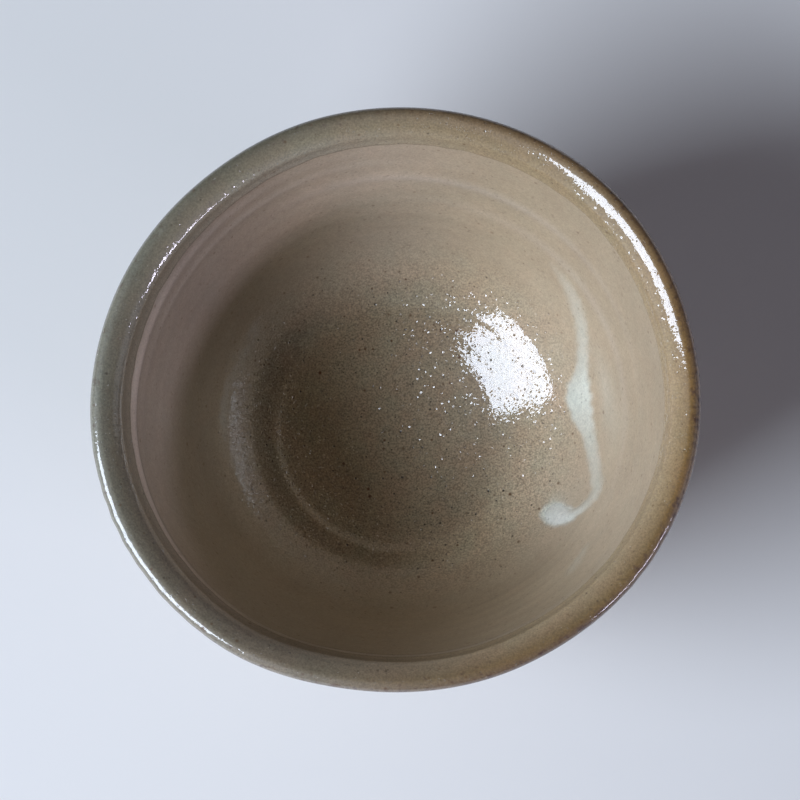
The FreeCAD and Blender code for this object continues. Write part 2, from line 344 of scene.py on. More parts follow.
@dataclass
class BowlForm:
    """The turned clay form with its leaning rim and the potter's marks, before any glaze."""

    rim_long: float = 121.4
    rim_short: float = 117.0
    oval_turn: float = 12.7
    crest_height: float = 75.2
    bottom_thickness: float = 5.0
    floor_radius: float = 20.0
    floor_slope: float = 19.0
    pool_curve_radius: float = 74.0
    pool_slope: float = 26.0
    ring_radius: float = 6.0
    ring_fall: float = 5.0
    inner_hip_radius: float = 27.0
    inner_wall_radius: float = 420.0
    lip_inner_radius: float = 1.2
    lip_bevel_radius: float = 10.0
    lip_bevel_end: float = 42.0
    lip_bevel_start: float = 22.0
    lip_outer_radius: float = 1.1
    outer_wall_radius: float = 280.0
    outer_hip_radius: float = 50.0
    trim_slope: float = 37.0
    foot_height: float = 7.0
    foot_base_radius: float = 27.4
    foot_base_width: float = 4.9
    foot_flare: float = 1.1
    seat_ledge: float = 0.9
    # the rim's lean in or out, by direction: the bowl was lifted off the wheel while it was soft
    leans: tuple[tuple[float, float], ...] = (
        (16, -0.45), (54, 0.2), (104, 0.2), (132, -0.32), (160, -0.2), (192, 0.19),
        (236, 0.33), (262, -0.52), (295, 0.1), (324, 0.42), (344, 0.26),
    )
    lean_start: float = 22.0  # height from which the wall leans
    sway: float = 0.3  # how far the rim rises and falls, twice round
    sway_start: float = 45.0
    sway_turn: float = 0.9  # radians
    inside_pitch: float = 5.6  # between two turns of the finger's spiral, inside
    outside_pitch: float = 8.5  # the same outside
    finger_on_floor: float = 0.04  # how far the spiral stands up
    finger_on_wall: float = 0.03  # and how much more on the wall
    finger_outside: float = 0.24
    finger_wander: float = 0.5  # radians that the spiral strays
    press: float = 0.7  # share of the spiral that is there all round; the rest comes and goes
    inside_press: Swell = Swell(0.3, 2, -14)
    outside_press: Swell = Swell(0.3, 3, 12)
    inside_dents: tuple[Swell, ...] = (Swell(0.11, 3, 17), Swell(0.07, 5, -11))
    outside_dent: Swell = Swell(0.12, 4, -19)
    ridges: tuple[FingerRidge, ...] = (
        FingerRidge(178, 30, 65.9, 1.3, 0.55),
        FingerRidge(140, 24, 61, 0.9, 0.16),
        FingerRidge(262, 30, 66, 0.9, 0.22),
        FingerRidge(75, 34, 54, 1.1, 0.14),
        FingerRidge(30, 30, 45, 1.3, 0.1),
    )
    ring_and_swirl: tuple[float, float] = (190, 70)  # direction and spread of the two marks below
    swirl_radius: float = 6.1  # where the finger turned in the middle of the floor
    swirl_width: float = 0.5
    swirl_drift: float = 0.25  # mm outwards in one radian
    swirl_height: float = 0.09
    ring_width: float = 1.3
    ring_height: float = 0.2  # how far the ring of the tea pool stands up
    ring_all_round: float = 0.12  # share of that height on the side where the ring is worn
    # the leather wiped a shallow hollow into the lip's slope and left its inner edge standing
    lip_hollow: LipMark = LipMark(-3.3, 2.2, 1.25, 32, 38, -0.3)
    lip_edge: LipMark = LipMark(-4.2, 0.5, 0.5, 140, 30, 0.05)
    edge_beads: float = 0.8  # height of the beads all along that edge, as a share of the edge's
    shoulders: tuple[LipMark, ...] = (
        LipMark(1.3, 0.45, 0.45, 213, 22, 0.12),
        LipMark(1.3, 0.45, 0.45, 207, 8, 0.1),
        LipMark(1.3, 0.45, 0.45, 326, 12, 0.13),
    )
    skin: Profile = field(init=False)
    crest: float = field(init=False)

    def __post_init__(self) -> None:
        """Works the profile out once the sizes are known."""
        inside, outside = self._inside(), self._outside()
        self.skin = Profile(inside + outside)
        self.crest = sum(s.length for s in inside)

    @property
    def squeeze(self) -> float:
        """How much narrower the mouth is across its long axis."""
        return self.rim_short / self.rim_long

    @property
    def seat_edge(self) -> float:
        """Radius where the outside meets the flat seat of the foot ring."""
        return (self.foot_base_radius + self.foot_flare + self.seat_ledge) / self.squeeze

    @staticmethod
    def _touching(low: tuple[float, float], low_gap: float, high: tuple[float, float],
                  high_gap: float) -> Grid:
        """The point at given distances from a low and a high centre, on the side of the bowl's axis.

        Args:
            low: radius and height of the low centre.
            low_gap: distance from it.
            high: radius and height of the high centre.
            high_gap: distance from it.

        Returns:
            Radius and height of the point where the two circles cross.
        """
        low_v, span = np.array(low), np.array(high) - np.array(low)
        reach = float(np.hypot(*span))
        along = (low_gap**2 - high_gap**2 + reach**2) / (2 * reach)
        aside = math.sqrt(low_gap**2 - along**2)
        forward = span / reach
        return low_v + forward * along + np.array([-forward[1], forward[0]]) * aside

    @staticmethod
    def _heading(start: tuple[float, float], end: tuple[float, float]) -> float:
        """The angle in degrees of the line from start to end."""
        return math.degrees(math.atan2(end[1] - start[1], end[0] - start[0]))

    def _inside(self) -> list[Stretch]:
        """Works out the inside of the profile.

        Returns:
            Dish, pool side, ring, hip and wall, and the bevelled lip up to its crest.
        """
        dish_radius = self.floor_radius / math.sin(math.radians(self.floor_slope))
        floor_height = self.foot_height + self.bottom_thickness
        dish = Stretch((0.0, floor_height + dish_radius), dish_radius, 90, 90 + self.floor_slope, True)
        pool = dish.continued(self.pool_curve_radius, 90 + self.pool_slope, True)
        ring = pool.continued(self.ring_radius, 90 + self.pool_slope - self.ring_fall, False)
        hip_centre = ring.continued(self.inner_hip_radius, ring.end, True).centre
        r, z = self.rim_long / 2 - self.lip_outer_radius, self.crest_height - self.lip_outer_radius
        low, high = (math.radians(90 + a) for a in (self.lip_bevel_end, self.lip_bevel_start))
        inner_gap = self.lip_bevel_radius - self.lip_inner_radius
        outer_gap = self.lip_bevel_radius - self.lip_outer_radius
        lip_centre = (r + inner_gap * math.cos(low) - outer_gap * math.cos(high),
                      z + inner_gap * math.sin(low) - outer_gap * math.sin(high))
        wall_centre = self._touching(hip_centre, self.inner_wall_radius - self.inner_hip_radius,
                                     lip_centre, self.inner_wall_radius + self.lip_inner_radius)
        hip = ring.continued(self.inner_hip_radius, self._heading(hip_centre, wall_centre), True)
        wall = hip.continued(self.inner_wall_radius, self._heading(lip_centre, wall_centre), True)
        lip = wall.continued(self.lip_inner_radius, 90 + self.lip_bevel_end, False)
        bevel = lip.continued(self.lip_bevel_radius, 90 + self.lip_bevel_start, False)
        return [dish, pool, ring, hip, wall, lip, bevel, bevel.continued(self.lip_outer_radius, 90, False)]

    def _outside(self) -> list[Stretch]:
        """Works out the outside of the profile.

        Returns:
            The lip from its crest, then the wall and the hip down to the seat of the foot ring.
        """
        lip_centre = (self.rim_long / 2 - self.lip_outer_radius, self.crest_height - self.lip_outer_radius)
        slope = math.radians(90 + self.trim_slope)
        hip_centre = (self.seat_edge + self.outer_hip_radius * math.cos(slope),
                      self.foot_height + self.outer_hip_radius * math.sin(slope))
        wall_centre = self._touching(hip_centre, self.outer_wall_radius - self.outer_hip_radius,
                                     lip_centre, self.outer_wall_radius - self.lip_outer_radius)
        lip = Stretch(lip_centre, self.lip_outer_radius, 90, self._heading(wall_centre, lip_centre), False)
        wall = lip.continued(self.outer_wall_radius, self._heading(wall_centre, hip_centre), False)
        return [lip, wall, wall.continued(self.outer_hip_radius, self.trim_slope - 90, False)]

    def relief(self, theta: Grid, along: Grid) -> Grid:
        """Height of the potter's marks over the turned profile.

        Inside, a finger's spiral is a raised cosine of distance over pitch less one turn per round, with
        soft dents from slow cosines and a few ridges of their own.  Outside the spiral is wider.  Both
        fade out at the lip, which was smoothed with a wet leather, and at the middle of the floor.

        Args:
            theta: directions in radians.
            along: distances along the profile in millimetres.

        Returns:
            Heights in millimetres along the profile's normal.
        """
        down = along - self.crest
        wander = self.finger_wander * np.sin(along / 9 + 1.3 * np.cos(theta))
        spiral = 0.5 + 0.5 * np.cos(TAU * along / self.inside_pitch - theta + wander)
        finger = self.finger_on_floor + self.finger_on_wall * ramp(along, 28, 48)
        finger = finger * (self.press + self.inside_press.at(theta, along)) * spiral**1.5
        dents = ramp(along, 12, 45) * sum(dent.at(theta, along) for dent in self.inside_dents)
        height = ramp(along, 1.5, 9) * ramp(-down, 7, 16) * (finger + dents)
        spiral = 0.5 + 0.5 * np.cos(TAU * down / self.outside_pitch + theta + wander)
        finger = self.finger_outside * (self.press + self.outside_press.at(theta, down)) * spiral**1.3
        height = height + ramp(down, 5, 16) * (finger + self.outside_dent.at(theta, down))
        for ridge in self.ridges:
            height = height + ridge.height * self.ridge_share(ridge, theta, along)
        side = near(theta, *self.ring_and_swirl)
        swirl = bell(along - self.swirl_radius - self.swirl_drift * theta, self.swirl_width) * side
        ring = bell(along - self.skin.ends[1], self.ring_width)
        ring = ring * (self.ring_all_round + (1 - self.ring_all_round) * side)
        return height + self.swirl_height * swirl + self.ring_height * ring + self._lip_marks(theta, down)

    def ridge_share(self, ridge: FingerRidge, theta: Grid, along: Grid) -> Grid:
        """How much of a ridge's height is there: a bell across it times a bell along it."""
        away = along - self.along_at_height(ridge.level, outside=False)
        return bell(away, ridge.width) * near(theta, ridge.direction, ridge.spread)

    def _lip_marks(self, theta: Grid, down: Grid) -> Grid:
        """Height of the wiped hollow, the beaded inner edge and the uneven shoulder of the lip.

        Args:
            theta: directions in radians.
            down: distances past the crest in millimetres, negative inside.

        Returns:
            Heights in millimetres.
        """
        edge = self.lip_edge
        beads = self.edge_beads * np.maximum(hand_wave(theta, range(25, 110), 31), 0)
        beads = edge.height * beads * bell(down - edge.place, edge.inward)
        uneven = 1 + 0.5 * hand_wave(theta, range(20, 100), 33)
        shoulder = uneven * sum(mark.at(theta, down) for mark in self.shoulders)
        return self.lip_hollow.at(theta, down) + edge.at(theta, down) + beads + shoulder

    def place(self, r: Grid, z: Grid, theta: Grid) -> Grid:
        """Leans the rim, squeezes the circle into an oval and turns millimetres into metres.

        Args:
            r: radius on the wheel.
            z: height over the table.
            theta: direction in radians.

        Returns:
            Points in metres, with a last axis of 3.
        """
        r = r + ramp(z, self.lean_start, self.crest_height) * round_the_mouth(theta, self.leans)
        sway = self.sway * np.cos(2 * theta + self.sway_turn)
        z = z + ramp(z, self.sway_start, self.crest_height) * sway
        turn = math.radians(self.oval_turn)
        length = r * np.cos(theta - turn)
        width = r * np.sin(theta - turn) * self.squeeze
        x = length * math.cos(turn) - width * math.sin(turn)
        y = length * math.sin(turn) + width * math.cos(turn)
        return np.stack(np.broadcast_arrays(x, y, z), -1) * MM

    def layer(self, theta: Grid, along: Grid, lift: Grid | float) -> Grid:
        """Points that lie a lift over the marked clay, along the profile's normal."""
        r, z, angle = self.skin.at(along)
        height = lift + self.relief(theta, along)
        return self.place(r + height * np.cos(angle), z + height * np.sin(angle), theta)

    def along_at_height(self, height: Grid | float, outside: bool) -> Grid:
        """Distance along the profile where a wall passes a height.

        Args:
            height: in millimetres over the table.
            outside: whether the outer wall is meant, and not the inner one.

        Returns:
            Distances from the middle of the floor, read off a fine table of the profile.
        """
        first, last = (self.crest, self.skin.length) if outside else (self.skin.ends[2], self.crest)
        table = np.linspace(first, last, 2000)
        heights = self.skin.at(table)[1]
        order = np.argsort(heights)
        return np.interp(height, heights[order], table[order])

    def along_at_radius(self, radius: Grid) -> Grid:
        """Distance along the inside where the profile passes a radius."""
        table = np.linspace(0, self.skin.ends[4], 3000)
        return np.interp(radius, self.skin.at(table)[0], table)

    def directions(self) -> Grid:
        """The directions of a grid's columns, in radians."""
        return np.arange(ROUND_STEPS) / ROUND_STEPS * TAU


# ---------------------------------------------------------------- finishes


def add(tree: Tree, kind: str, inputs: dict | None = None, **settings) -> bpy.types.Node:
    """Adds one node.

    Args:
        tree: the material's or world's node tree.
        kind: the node's type.
        inputs: by socket name or number, a plain value or another node's output to link.
        settings: properties of the node itself.

    Returns:
        The new node.
    """
    node = tree.nodes.new(kind)
    for name, value in settings.items():
        setattr(node, name, value)
    for name, value in (inputs or {}).items():
        if isinstance(value, Socket):
            tree.links.new(value, node.inputs[name])
        else:
            node.inputs[name].default_value = value
    return node


@dataclass(frozen=True)
class Row:
    """How nodes of a kind are put in a row, each of which works on what the last one gives."""

    kind: str
    takes: int | str  # socket for the last node's output
    gives: int
    others: tuple[int | str, ...]  # the sockets that each step fills
    choice: str  # the property that each step sets
    fixed: tuple[tuple[str, str], ...] = ()


SUMS = Row("ShaderNodeMath", 0, 0, (1,), "operation")
LAYERS = Row("ShaderNodeMix", 6, 2, (0, 7), "blend_type", (("data_type", "RGBA"),))
BUMPS = Row("ShaderNodeBump", "Normal", 0, ("Height", "Distance"), "invert")


def in_a_row(tree: Tree, row: Row, first: Socket | Colour | float | None, *steps: tuple) -> Socket:
    """Adds nodes one after the other.

    Args:
        tree: the material's tree.
        row: what the nodes are and how they join.
        first: what the first node works on, or None for nothing.
        steps: for each node the values of its other sockets, and last its choice.

    Returns:
        The last node's output.
    """
    for *values, choice in steps:
        inputs = dict(zip(row.others, values))
        if first is not None:
            inputs[row.takes] = first
        first = add(tree, row.kind, inputs, **{row.choice: choice}, **dict(row.fixed)).outputs[row.gives]
    return first


@dataclass(frozen=True)
class Cloud:
    """Soft noise: the size of its lumps in mm, its detail, and the values it is spread over."""

    size: float
    detail: float
    low: float = 0.0
    high: float = 1.0

    def socket(self, tree: Tree, place: Socket) -> Socket:
        """Adds the noise, whose middle part fills the range of values.

        Args:
            tree: the material's tree.
            place: socket with Object coordinates.

        Returns:
            The value's socket.
        """
        noise = add(tree, "ShaderNodeTexNoise",
                    {"Vector": place, "Scale": 1 / (self.size * MM), "Detail": self.detail})
        spread = {"Value": noise.outputs["Fac"], "From Min": 0.3, "From Max": 0.7,
                  "To Min": self.low, "To Max": self.high}
        return add(tree, "ShaderNodeMapRange", spread).outputs[0]


@dataclass(frozen=True)
class Dots:
    """Round dots, one at most in each cell of a scattered net: grains, specks or pinholes."""

    colour: str
    spacing: float  # mm between the cells' middles
    size: float  # mm across the largest dots
    share: float  # of the cells that hold a dot, 0 to 1
    calm: float = 1.0  # strength on the smooth wall, where it is 1 on the floor

    def socket(self, tree: Tree, place: Socket) -> Socket:
        """Adds the dots.

        Args:
            tree: the material's tree.
            place: socket with Object coordinates.

        Returns:
            A socket that is 1 in a dot's middle and 0 outside it.
        """
        cells = add(tree, "ShaderNodeTexVoronoi", {"Vector": place, "Scale": 1 / (self.spacing * MM)})
        kept = {"Value": cells.outputs["Color"], "From Min": 1 - self.share, "From Max": 1.0,
                "To Min": 0.35, "To Max": 1.0}
        size_here = add(tree, "ShaderNodeMapRange", kept, clamp=False)
        depth = in_a_row(tree, SUMS, size_here.outputs[0], (self.size / self.spacing / 2, "MULTIPLY"),
                         (cells.outputs["Distance"], "SUBTRACT"))
        sharp = add(tree, "ShaderNodeMath", {0: depth, 1: 4 * self.spacing / self.size},
                    operation="MULTIPLY", use_clamp=True)
        holds = in_a_row(tree, SUMS, cells.outputs["Color"], (1 - self.share, "GREATER_THAN"))
        return in_a_row(tree, SUMS, sharp.outputs[0], (holds, "MULTIPLY"))


@dataclass(frozen=True)
class Facets:
    """Small flat grains that each lean their own way."""

    size: float  # mm
    share: float  # of the cells that hold a grain, 0 to 1
    tilt: float  # the steepest slope along an axis, as a tangent

    def socket(self, tree: Tree, place: Socket) -> Socket:
        """Adds the grains' height in metres.

        Inside a cell it is the dot product of the way from the cell's middle with a random slope.

        Args:
            tree: the material's tree.
            place: socket with Object coordinates.

        Returns:
            The height's socket.
        """
        cells = add(tree, "ShaderNodeTexVoronoi", {"Vector": place, "Scale": 1 / (self.size * MM)})
        middle, grey = cells.outputs["Position"], (0.5, 0.5, 0.5)
        way, slope = (add(tree, "ShaderNodeVectorMath", {0: a, 1: b}, operation="SUBTRACT").outputs[0]
                      for a, b in ((place, middle), (cells.outputs["Color"], grey)))
        dot = add(tree, "ShaderNodeVectorMath", {0: way, 1: slope}, operation="DOT_PRODUCT")
        height = dot.outputs["Value"]
        picked = add(tree, "ShaderNodeTexWhiteNoise", {"Vector": middle}).outputs["Value"]
        holds = in_a_row(tree, SUMS, picked, (self.share, "LESS_THAN"))
        return in_a_row(tree, SUMS, height, (2 * self.tilt, "MULTIPLY"), (holds, "MULTIPLY"))


def new_material(name: str) -> tuple[bpy.types.Material, Tree, Socket]:
    """Makes an empty node material.

    Args:
        name: the material's name.

    Returns:
        The material, its tree and its Object coordinates.
    """
    material = bpy.data.materials.new(name)
    material.use_nodes = True
    tree = material.node_tree
    tree.nodes.clear()
    return material, tree, add(tree, "ShaderNodeTexCoord").outputs["Object"]


@dataclass(frozen=True)
class AshGlaze:
    """A thin wood-ash glaze, poured and dipped, over a sandy stoneware.

    It gives the eye a wet glassy skin with a fine orange peel, broken by pinholes and by grains of sand
    that stand through it, so that a window's reflection in it has a crumbled edge.  On the floor of the
    bowl the clay is rougher: there grains and specks show most.
    """

    name: str
    roughness: float = 0.44  # silky where fine crystals grew
    grainy_roughness: float = 0.58  # the same over the coarse clay of the floor
    coat_roughness: float = 0.05  # glassy top
    ior: float = 1.42  # lower than window glass, which is about 1.52
    coat_ior: float = 1.6
    patches: Cloud = Cloud(11, 3, 0.95, 1.05)  # a little thicker and thinner glaze
    freckles: Cloud = Cloud(1.1, 2, 0.95, 1.05)
    mottle: Cloud = Cloud(0.4, 2, 0.6, 1.4)  # fine sand of the clay that shows through
    mottle_calm: float = 0.25
    hues: Cloud = Cloud(6.0, 2)  # clouds of more and of less oxidised glaze, multiplied in
    warm: str = "#fff6ea"
    olive: str = "#f6fbf2"
    ragged: Cloud = Cloud(1.3, 3, -0.45, 0.45)  # the uneven border of the bare edge
    ash: Cloud = Cloud(3.5, 2)
    broken: str = "#5c3f28"  # iron brown where the glaze ran thin over an edge, and on the lip's outer shoulder also painted shade
    mauve: str = "#4e3b39"  # the same where more ash lay on it
    specks: tuple[Dots, ...] = (
        Dots("#3f352a", 0.8, 0.5, 0.42, 0.1),  # dark sand
        Dots("#e2d9ca", 1.0, 0.4, 0.35, 0.25),  # pale grains
        Dots("#5a391b", 1.8, 1.2, 0.38, 0.4),  # spots of iron from the clay
    )
    pinholes: Dots = Dots("#3b3127", 1.7, 0.75, 0.7, 0.3)
    pinhole_depth: float = 0.08  # mm
    peel: Cloud = Cloud(1.7, 2)  # lumps of the orange peel
    peel_depth: float = 0.018  # mm
    lumps: Cloud = Cloud(0.8, 1)  # lumps of glaze between the grains
    lump_depth: float = 0.013  # mm
    lump_calm: float = 0.3
    sand: Facets = Facets(0.36, 0.16, 0.27)  # grains that stand through
    sand_calm: float = 0.06

    def build(self) -> bpy.types.Material:
        """Makes the finish: painted colour, clouds, grains, iron spots and thin edges, whose brown is partly
        painted shade, under a glassy coat.

        Returns:
            The material.
        """
        material, tree, place = new_material(self.name)
        painted = add(tree, "ShaderNodeAttribute", attribute_name="painted").outputs["Color"]
        thin, grainy, sandy = (add(tree, "ShaderNodeAttribute", attribute_name=name).outputs["Fac"]
                               for name in ("thin", "grainy", "sandy"))

        def where(coarse: Socket, value: Socket | float, calm: float) -> Socket:
            """A value at full strength where the clay is coarse, and at a calm share of it elsewhere."""
            share = add(tree, "ShaderNodeMapRange", {"Value": coarse, "To Min": calm})
            return in_a_row(tree, SUMS, value, (share.outputs[0], "MULTIPLY"))

        colour = in_a_row(tree, LAYERS, painted, *((1.0, cloud.socket(tree, place), "MULTIPLY")
                                                    for cloud in (self.patches, self.freckles)))
        hues = in_a_row(tree, LAYERS, linear(self.warm),
                        (self.hues.socket(tree, place), linear(self.olive), "MIX"))
        mottled = in_a_row(tree, LAYERS, colour, (1.0, self.mottle.socket(tree, place), "MULTIPLY"),
                           (1.0, hues, "MULTIPLY"))
        # the bare brown edge, which on the lip's outer shoulder is also painted shade
        edge = in_a_row(tree, SUMS, thin, (self.ragged.socket(tree, place), "ADD"))
        bare = in_a_row(tree, LAYERS, linear(self.broken),
                        (self.ash.socket(tree, place), linear(self.mauve), "MIX"))
        shown = add(tree, "ShaderNodeMapRange", {"Value": edge, "From Min": 0.35, "From Max": 0.85})
        pinholes = where(grainy, self.pinholes.socket(tree, place), self.pinholes.calm)
        colour = in_a_row(
            tree, LAYERS, colour,
            (where(grainy, 1.0, self.mottle_calm), mottled, "MIX"),
            (shown.outputs[0], bare, "MIX"),
            *((where(grainy, dots.socket(tree, place), dots.calm), linear(dots.colour), "MIX")
              for dots in self.specks),
            (pinholes, linear(self.pinholes.colour), "MIX"))
        normal = in_a_row(
            tree, BUMPS, None,
            (self.peel.socket(tree, place), self.peel_depth * MM, False),
            (where(sandy, self.lumps.socket(tree, place), self.lump_calm), self.lump_depth * MM, False),
            (where(sandy, self.sand.socket(tree, place), self.sand_calm), 1.0, False),
            (pinholes, self.pinhole_depth * MM, True))
        silk = add(tree, "ShaderNodeMapRange", {
            "Value": grainy, "To Min": self.roughness, "To Max": self.grainy_roughness})
        shader = add(tree, "ShaderNodeBsdfPrincipled", {
            "Base Color": colour, "Roughness": silk.outputs[0], "IOR": self.ior, "Coat Weight": 1.0,
            "Coat Roughness": self.coat_roughness, "Coat IOR": self.coat_ior,
            "Normal": normal, "Coat Normal": normal})
        add(tree, "ShaderNodeOutputMaterial", {"Surface": shader.outputs[0]})
        return material


@dataclass(frozen=True)
class Stoneware:
    """Bare sandy stoneware, fired without glaze: dry, toasted, scored by the trimming tool."""

    name: str = "toasted_stoneware"
    clay: str = "#a5866a"
    toast: str = "#8a5f41"  # orange-brown flash next to the glaze
    flash: Cloud = Cloud(7, 3, -0.3, 0.3)
    mottle: Cloud = Cloud(0.5, 2, 0.86, 1.14)
    sand: Dots = Dots("#c9b59b", 1.1, 0.5, 0.35)
    sand_depth: float = 0.06  # mm
    iron: Dots = Dots("#35241a", 3.1, 0.5, 0.2)
    grit: Cloud = Cloud(0.45, 2)
    grit_depth: float = 0.035  # mm
    roughness: float = 0.82

    def build(self) -> bpy.types.Material:
        """Makes the finish: clay and toast mixed by the painted share, with sand, iron and grit.

        Returns:
            The material.
        """
        material, tree, place = new_material(self.name)
        toasted = add(tree, "ShaderNodeAttribute", attribute_name="toasted").outputs["Fac"]
        amount = add(tree, "ShaderNodeMath", {0: toasted, 1: self.flash.socket(tree, place)},
                     operation="ADD", use_clamp=True)
        sand = self.sand.socket(tree, place)
        colour = in_a_row(
            tree, LAYERS, linear(self.clay), (amount.outputs[0], linear(self.toast), "MIX"),
            (1.0, self.mottle.socket(tree, place), "MULTIPLY"), (sand, linear(self.sand.colour), "MIX"),
            (self.iron.socket(tree, place), linear(self.iron.colour), "MIX"))
        normal = in_a_row(tree, BUMPS, None, (self.grit.socket(tree, place), self.grit_depth * MM, False),
                          (sand, self.sand_depth * MM, False))
        shader = add(tree, "ShaderNodeBsdfPrincipled", {
            "Base Color": colour, "Roughness": self.roughness, "Normal": normal})
        add(tree, "ShaderNodeOutputMaterial", {"Surface": shader.outputs[0]})
        return material


# ---------------------------------------------------------------- the glaze's colours


@dataclass(frozen=True)
class Veil:
    """A faint white smear: of slip on the wall, and in one place a painted reflection on the floor; where it
    lies, how far it spreads and how white it is.
    """

    direction: float
    spread: float  # degrees
    radius: float
    width: float
    share: float

    def at(self, theta: Grid, radius: Grid) -> Grid:
        """The smear's share of white: a bell round its direction times a bell over the radius."""
        smear = near(theta, self.direction, self.spread) * bell(radius - self.radius, self.width)
        return self.share * smear


@dataclass(frozen=True)
class Firing:
    """Where the kiln and the glaze's thickness changed the colour, by direction and height; the colours also
    hold painted shade on the walls and the lip, a painted highlight on the ridges and a painted reflection on
    the floor.
    """

    floor: str = "#9c8b74"
    floor_fade: tuple[float, float] = (22, 36)  # mm along the profile, where its tone gives way
    coarse_fade: tuple[float, float] = (28, 50)  # where the coarse clay of the floor gives way
    slip: str = "#d1d0c1"
    slip_pooled: str = "#e6e5da"  # where it ran together and stopped
    pool: Veil = Veil(-31, 5, 40.6, 3.5, 1.0)  # and where that is
    ridge: str = "#dccfc6"  # thin glaze on a finger's ridge, paler, and a painted highlight where the ridge catches the light
    ridge_share: float = 1.4  # its share for each millimetre that the ridge stands up
    outside: str = "#978a76"
    deep_glaze: tuple[float, float, float] = (21.0, 13.5, 7.2)  # x, y and spread of the patch, mm
    sunk: float = 0.95  # share of the sand that is sunk in it
    # the walls' tones round the mouth: the glaze's own colour, and painted shade too, darker and greyer at
    # 150 to 225 degrees, the side that lies in the bowl's own shade
    wall_tones_with_shade: tuple[tuple[float, str], ...] = (
        (0, "#b9a58b"), (60, "#b6a287"), (105, "#bba994"), (150, "#a3968a"), (180, "#aca093"),
        (225, "#ac9c88"), (300, "#b8a58a"), (335, "#c1ae95"),
    )
    # the floor's tone reaches further out or less far on two sides: direction, spread and millimetres
    floor_bulges: tuple[tuple[float, float, float], ...] = ((100, 35, -3), (-5, 35, 5))
    slip_veils_and_reflection: tuple[Veil, ...] = (
        Veil(-28.6, 2.6, 38.6, 1.6, 0.35),
        Veil(7, 8, 44.6, 0.9, 0.28),
        Veil(-2, 6, 46.5, 1.2, 0.14),
        # a painted reflection, not slip: a faint bluish smear on the floor where a low lamp shows in the
        # glaze
        Veil(82, 15, 29.5, 1.1, 0.08),
    )
    lap_directions: tuple[float, ...] = (0, 60, 120, 180, 240, 300)
    # the dipped coat by its distance in from the outside: worn edge, thin crest, thickest band, end
    lap_zones: tuple[tuple[float, tuple[str, ...]], ...] = (
        (0.3, ("#8a7055", "#8c6c48", "#6c6757", "#7d7a6c", "#877e70", "#705a44")),
        (2.0, ("#8b6b3e", "#8c7456", "#706857", "#7b786a", "#7c715f", "#7c6340")),
        (4.4, ("#a28863", "#8f7958", "#8a806a", "#7f7764", "#8c7f6d", "#9a8265")),
        (7.0, ("#b49d7e", "#a99475", "#a09788", "#8c8578", "#938678", "#b4a080")),
    )
    outer_lip: float = 1.9  # the farthest in that a place past the crest counts
    lap_outside: tuple[float, float] = (3, 11)  # past the crest, where the outside's tone takes over

    def inside(self, form: BowlForm, theta: Grid, along: Grid) -> Grid:
        """Linear colours of the inner coat, with the slip that sank into it, painted shade on the walls, a
        painted highlight on the ridges and a painted reflection on the floor.

        Args:
            form: the bowl.
            theta: directions in radians.
            along: distances along the profile in millimetres.

        Returns:
            Colours, shaped as both broadcast together, with a last axis of 3.
        """
        theta, along = np.broadcast_arrays(theta, along)
        wider = along + sum(reach * near(theta, *side) for *side, reach in self.floor_bulges)
        # the walls' tones hold painted shade on the side away from the light
        base = blended(tones(theta, self.wall_tones_with_shade), self.floor, 1 - ramp(wider, *self.floor_fade))
        # paler on the ridges: thin glaze, and a painted highlight where they catch the light
        for ridge in form.ridges:
            share = min(1.0, self.ridge_share * ridge.height) * form.ridge_share(ridge, theta, along)
            base = blended(base, self.ridge, share)
        radius = form.skin.at(along)[0]
        # smears of slip, and the last one a painted reflection
        for veil in self.slip_veils_and_reflection:
            base = blended(base, self.slip, veil.at(theta, radius))
        for mark in SlipMark:
            white = SlipPath(mark).white(theta, radius)
            base = blended(base, self.slip, white)
            base = blended(base, self.slip_pooled, white * self.pool.at(theta, radius))
        return base

    def grains(self, form: BowlForm, theta: Grid, along: Grid) -> dict[str, Grid]:
        """How coarse the clay is under the inner coat, and how far its sand stands through.

        The floor was scraped and the wall pressed smooth; in one patch of the floor the glaze lies
        thicker, and the sand is sunk in it.

        Args:
            form: the bowl.
            theta: directions in radians.
            along: distances along the profile in millimetres.

        Returns:
            The two attributes by name, 0 to 1.
        """
        x, y, spread = self.deep_glaze
        radius = form.skin.at(along)[0]
        away = np.hypot(radius * np.cos(theta) - x, radius * np.sin(theta) - y)
        grainy = 1 - ramp(along, *self.coarse_fade)
        sunk = self.sunk * np.exp(-0.5 * (away / spread) ** 4)
        return {"grainy": grainy, "sandy": grainy * (1 - sunk)}

    def lap(self, form: BowlForm, theta: Grid, along: Grid, coat: float) -> Grid:
        """Linear colours of the dipped coat, straight between the zones and smooth round the mouth.

        Args:
            form: the bowl.
            theta: directions in radians, one for each column.
            along: distances along the profile, shaped (rows, columns).
            coat: thickness of the coat in millimetres.

        Returns:
            Colours, shaped (rows, columns, 3).
        """
        radius, _, angle = form.skin.at(along)
        inwards = form.rim_long / 2 + coat - radius - coat * np.cos(angle)
        inwards = np.where(along > form.crest, np.minimum(inwards, self.outer_lip), inwards)
        start, end = (form.crest + down for down in self.lap_outside)
        inwards = np.where(along > start, 0.0, inwards)
        lines = np.stack([tones(theta, tuple(zip(self.lap_directions, codes)))
                          for _, codes in self.lap_zones])
        position = np.interp(inwards, [zone for zone, _ in self.lap_zones], np.arange(len(lines)))
        i = np.minimum(position.astype(int), len(lines) - 2)
        columns = np.broadcast_to(np.arange(len(theta)), inwards.shape)
        part = (position - i)[..., None]
        colours = lines[i, columns] * (1 - part) + lines[i + 1, columns] * part
        return blended(colours, self.outside, ramp(along, start, end))


# ---------------------------------------------------------------- the pieces


